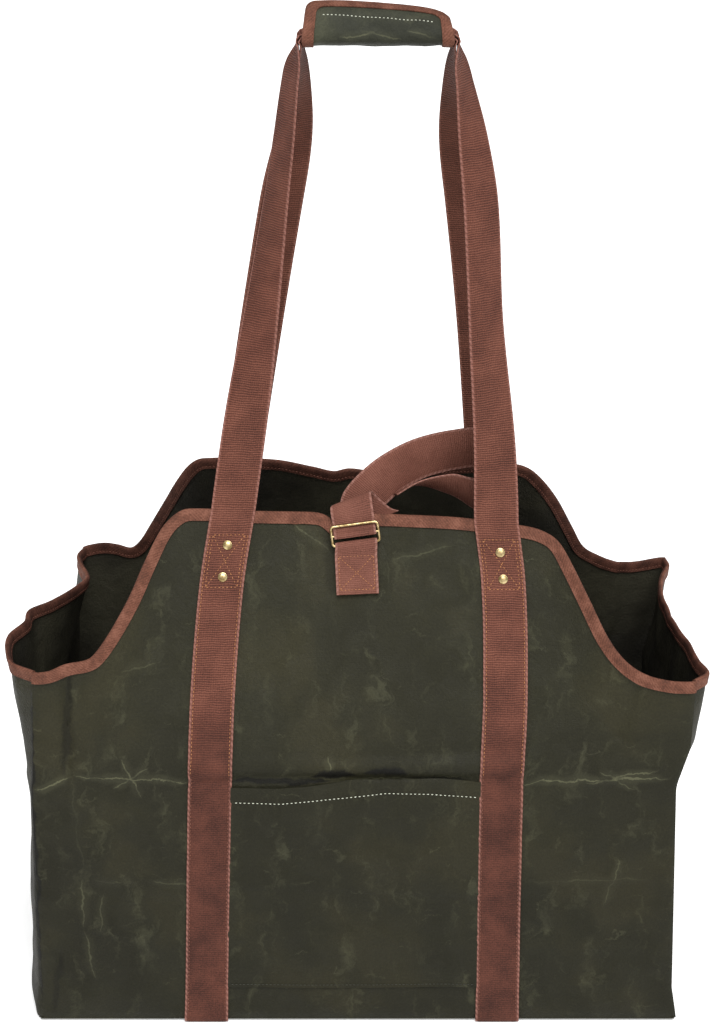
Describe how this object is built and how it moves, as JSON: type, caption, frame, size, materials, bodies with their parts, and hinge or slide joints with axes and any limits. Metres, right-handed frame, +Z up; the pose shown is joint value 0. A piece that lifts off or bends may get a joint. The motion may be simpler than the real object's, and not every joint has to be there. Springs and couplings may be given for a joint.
{
  "type": "canvas log carrier",
  "caption": "Open waxed canvas tote for firewood, with taped rims, webbing straps that rise to one wrapped grip, a front pocket and a webbing closure.",
  "frame": {"origin": "middle of the underside of the canvas grip, where a hand holds it", "axes": "+Z up, +X to the right seen from the front, and the front with the pocket faces -Y"},
  "size_m": [0.603, 0.3219, 0.8675],
  "materials": {
    "canvas": "dark olive waxed canvas, mottled, with pale wax marks along its creases",
    "webbing": "brown ribbed webbing with a paler edge and tan stitching",
    "tape": "brown woven binding tape",
    "brass": "worn antique brass"
  },
  "bodies": {
    "root": {"front_panel": "canvas", "back_panel": "canvas", "left_gusset": "canvas", "right_gusset": "canvas", "base_panel": "canvas", "front_pocket": "canvas", "handle_wrap": "canvas", "binding_front": "tape", "binding_back": "tape", "binding_left": "tape", "binding_right": "tape", "wrap_binding": "tape", "webbing_front": "webbing", "webbing_back": "webbing", "closure_tab": "webbing", "closure_strap": "webbing", "tri_glide": "brass", "rivet_front_left_1": "brass", "rivet_front_left_2": "brass", "rivet_front_right_1": "brass", "rivet_front_right_2": "brass", "rivet_back_left_1": "brass", "rivet_back_left_2": "brass", "rivet_back_right_1": "brass", "rivet_back_right_2": "brass"}
  },
  "joints": []
}
